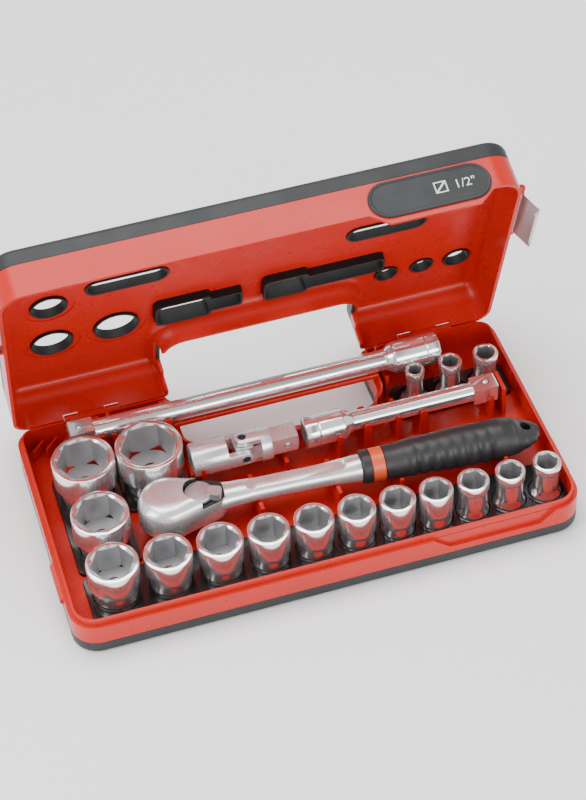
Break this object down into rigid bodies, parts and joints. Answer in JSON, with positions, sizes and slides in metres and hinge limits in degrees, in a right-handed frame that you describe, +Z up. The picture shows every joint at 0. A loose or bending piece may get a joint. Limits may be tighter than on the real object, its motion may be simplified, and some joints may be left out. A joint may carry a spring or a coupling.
{
  "type": "socket wrench set in case",
  "caption": "Half-inch drive socket set in a hinged carrying case with a ratchet, extension bars and a universal joint.",
  "frame": {"origin": "middle of the case's underside, on the surface it stands on", "axes": "+X along the case's length towards the ratchet's grip; +Y from the front towards the hinge; +Z up"},
  "size_m": [0.3502, 0.2052, 0.199],
  "materials": {
    "red_plastic": "moulded, satin gloss",
    "dark_plastic": "moulded, fine texture",
    "tray_plastic": "moulded, glossy",
    "chrome": "mirror plated",
    "satin_chrome": "satin plated",
    "black_grip": "soft satin",
    "ring_plastic": "moulded",
    "steel": "satin"
  },
  "bodies": {
    "case_base": {"base_shell": "dark_plastic", "base_frame": "red_plastic", "front_socket_tray": "tray_plastic", "rear_socket_tray": "tray_plastic", "left_socket_tray": "tray_plastic", "centre_socket_tray": "tray_plastic", "hinge_pin_left": "steel", "hinge_pin_right": "steel"},
    "lid": {"lid_cover": "dark_plastic", "lid_liner": "red_plastic", "badge_plate": "dark_plastic", "latch_pin_left": "steel", "latch_pin_right": "steel"},
    "latch_left": {"latch_left": "steel"},
    "latch_right": {"latch_right": "steel"},
    "ratchet": {"ratchet_body": "satin_chrome", "ratchet_cover_plate": "satin_chrome", "grip": "black_grip", "grip_ring": "ring_plastic", "pawl_spring": "steel"},
    "ratchet_drive": {"ratchet_gear": "satin_chrome", "ratchet_ball_spring": "steel"},
    "ratchet_ball": {"ratchet_ball": "satin_chrome"},
    "reverser": {"reversing_lever": "satin_chrome", "pawl": "steel"},
    "universal_joint": {"uj_socket_yoke": "satin_chrome"},
    "uj_cross": {"uj_cross": "satin_chrome"},
    "uj_drive": {"uj_drive_yoke": "satin_chrome", "uj_ball_spring": "steel"},
    "uj_ball": {"uj_ball": "satin_chrome"},
    "long_extension": {"long_extension_bar": "chrome", "long_extension_ball_spring": "steel"},
    "long_extension_ball": {"long_extension_ball": "satin_chrome"},
    "short_extension": {"short_extension_bar": "chrome", "short_extension_ball_spring": "steel"},
    "short_extension_ball": {"short_extension_ball": "satin_chrome"},
    "socket_24": {"socket_24": "chrome"},
    "socket_22": {"socket_22": "chrome"},
    "socket_21": {"socket_21": "chrome"},
    "socket_19": {"socket_19": "chrome"},
    "socket_18": {"socket_18": "chrome"},
    "socket_17": {"socket_17": "chrome"},
    "socket_16": {"socket_16": "chrome"},
    "socket_15": {"socket_15": "chrome"},
    "socket_14": {"socket_14": "chrome"},
    "socket_13": {"socket_13": "chrome"},
    "socket_12": {"socket_12": "chrome"},
    "socket_08": {"socket_08": "chrome"},
    "socket_10": {"socket_10": "chrome"},
    "socket_11": {"socket_11": "chrome"},
    "socket_27": {"socket_27": "chrome"},
    "socket_30": {"socket_30": "chrome"},
    "socket_32": {"socket_32": "chrome"}
  },
  "joints": [
    {"name": "lid_hinge", "type": "hinge", "parent": "case_base", "child": "lid", "pos_m": [0, 0.0876, 0.024], "axis": [-1, 0, 0], "range_deg": [-72, 38]},
    {"name": "latch_left_hinge", "type": "hinge", "parent": "lid", "child": "latch_left", "pos_m": [-0.1672, 0.05483, 0.14752], "axis": [0, 0.309, -0.9511], "range_deg": [-25, 65]},
    {"name": "latch_right_hinge", "type": "hinge", "parent": "lid", "child": "latch_right", "pos_m": [0.1672, 0.05483, 0.14752], "axis": [0, -0.309, 0.9511], "range_deg": [-25, 65]},
    {"name": "ratchet_lift", "type": "slide", "parent": "case_base", "child": "ratchet", "axis": [0, 0, 1], "range_m": [0, 0.06]},
    {"name": "drive_spin", "type": "hinge", "parent": "ratchet", "child": "ratchet_drive", "pos_m": [-0.0862, -0.0144, 0.033], "axis": [0, 0, 1], "continuous": true},
    {"name": "reverser_turn", "type": "hinge", "parent": "ratchet", "child": "reverser", "pos_m": [-0.06623, -0.01552, 0.033], "axis": [0, 0, 1], "range_deg": [-12, 12]},
    {"name": "uj_lift", "type": "slide", "parent": "case_base", "child": "universal_joint", "axis": [0, 0, 1], "range_m": [0, 0.06]},
    {"name": "uj_pitch", "type": "hinge", "parent": "universal_joint", "child": "uj_cross", "pos_m": [-0.028, 0.0205, 0.031], "axis": [0, -1, 0], "range_deg": [0, 30]},
    {"name": "uj_yaw", "type": "hinge", "parent": "uj_cross", "child": "uj_drive", "pos_m": [-0.028, 0.0205, 0.031], "axis": [0, 0, 1], "range_deg": [0, 30]},
    {"name": "long_extension_lift", "type": "slide", "parent": "case_base", "child": "long_extension", "axis": [0, 0, 1], "range_m": [0, 0.06]},
    {"name": "short_extension_lift", "type": "slide", "parent": "case_base", "child": "short_extension", "axis": [0, 0, 1], "range_m": [0, 0.06]},
    {"name": "ratchet_ball_press", "type": "slide", "parent": "ratchet_drive", "child": "ratchet_ball", "axis": [0.0558, 0.9984, 0], "range_m": [0, 0.001], "stiffness_N_per_m": 400, "springref_m": -0.001},
    {"name": "long_extension_ball_press", "type": "slide", "parent": "long_extension", "child": "long_extension_ball", "axis": [0, 0, -1], "range_m": [0, 0.001], "stiffness_N_per_m": 400, "springref_m": -0.001},
    {"name": "short_extension_ball_press", "type": "slide", "parent": "short_extension", "child": "short_extension_ball", "axis": [0, 0, -1], "range_m": [0, 0.001], "stiffness_N_per_m": 400, "springref_m": -0.001},
    {"name": "uj_ball_press", "type": "slide", "parent": "uj_drive", "child": "uj_ball", "axis": [0, 1, 0], "range_m": [0, 0.001], "stiffness_N_per_m": 400, "springref_m": -0.001},
    {"name": "socket_24_lift", "type": "slide", "parent": "case_base", "child": "socket_24", "axis": [0, 0, 1], "range_m": [0, 0.06]},
    {"name": "socket_22_lift", "type": "slide", "parent": "case_base", "child": "socket_22", "axis": [0, 0, 1], "range_m": [0, 0.06]},
    {"name": "socket_21_lift", "type": "slide", "parent": "case_base", "child": "socket_21", "axis": [0, 0, 1], "range_m": [0, 0.06]},
    {"name": "socket_19_lift", "type": "slide", "parent": "case_base", "child": "socket_19", "axis": [0, 0, 1], "range_m": [0, 0.06]},
    {"name": "socket_18_lift", "type": "slide", "parent": "case_base", "child": "socket_18", "axis": [0, 0, 1], "range_m": [0, 0.06]},
    {"name": "socket_17_lift", "type": "slide", "parent": "case_base", "child": "socket_17", "axis": [0, 0, 1], "range_m": [0, 0.06]},
    {"name": "socket_16_lift", "type": "slide", "parent": "case_base", "child": "socket_16", "axis": [0, 0, 1], "range_m": [0, 0.06]},
    {"name": "socket_15_lift", "type": "slide", "parent": "case_base", "child": "socket_15", "axis": [0, 0, 1], "range_m": [0, 0.06]},
    {"name": "socket_14_lift", "type": "slide", "parent": "case_base", "child": "socket_14", "axis": [0, 0, 1], "range_m": [0, 0.06]},
    {"name": "socket_13_lift", "type": "slide", "parent": "case_base", "child": "socket_13", "axis": [0, 0, 1], "range_m": [0, 0.06]},
    {"name": "socket_12_lift", "type": "slide", "parent": "case_base", "child": "socket_12", "axis": [0, 0, 1], "range_m": [0, 0.06]},
    {"name": "socket_08_lift", "type": "slide", "parent": "case_base", "child": "socket_08", "axis": [0, 0, 1], "range_m": [0, 0.012]},
    {"name": "socket_10_lift", "type": "slide", "parent": "case_base", "child": "socket_10", "axis": [0, 0, 1], "range_m": [0, 0.012]},
    {"name": "socket_11_lift", "type": "slide", "parent": "case_base", "child": "socket_11", "axis": [0, 0, 1], "range_m": [0, 0.06]},
    {"name": "socket_27_lift", "type": "slide", "parent": "case_base", "child": "socket_27", "axis": [0, 0, 1], "range_m": [0, 0.06]},
    {"name": "socket_30_lift", "type": "slide", "parent": "case_base", "child": "socket_30", "axis": [0, 0, 1], "range_m": [0, 0.06]},
    {"name": "socket_32_lift", "type": "slide", "parent": "case_base", "child": "socket_32", "axis": [0, 0, 1], "range_m": [0, 0.06]}
  ]
}
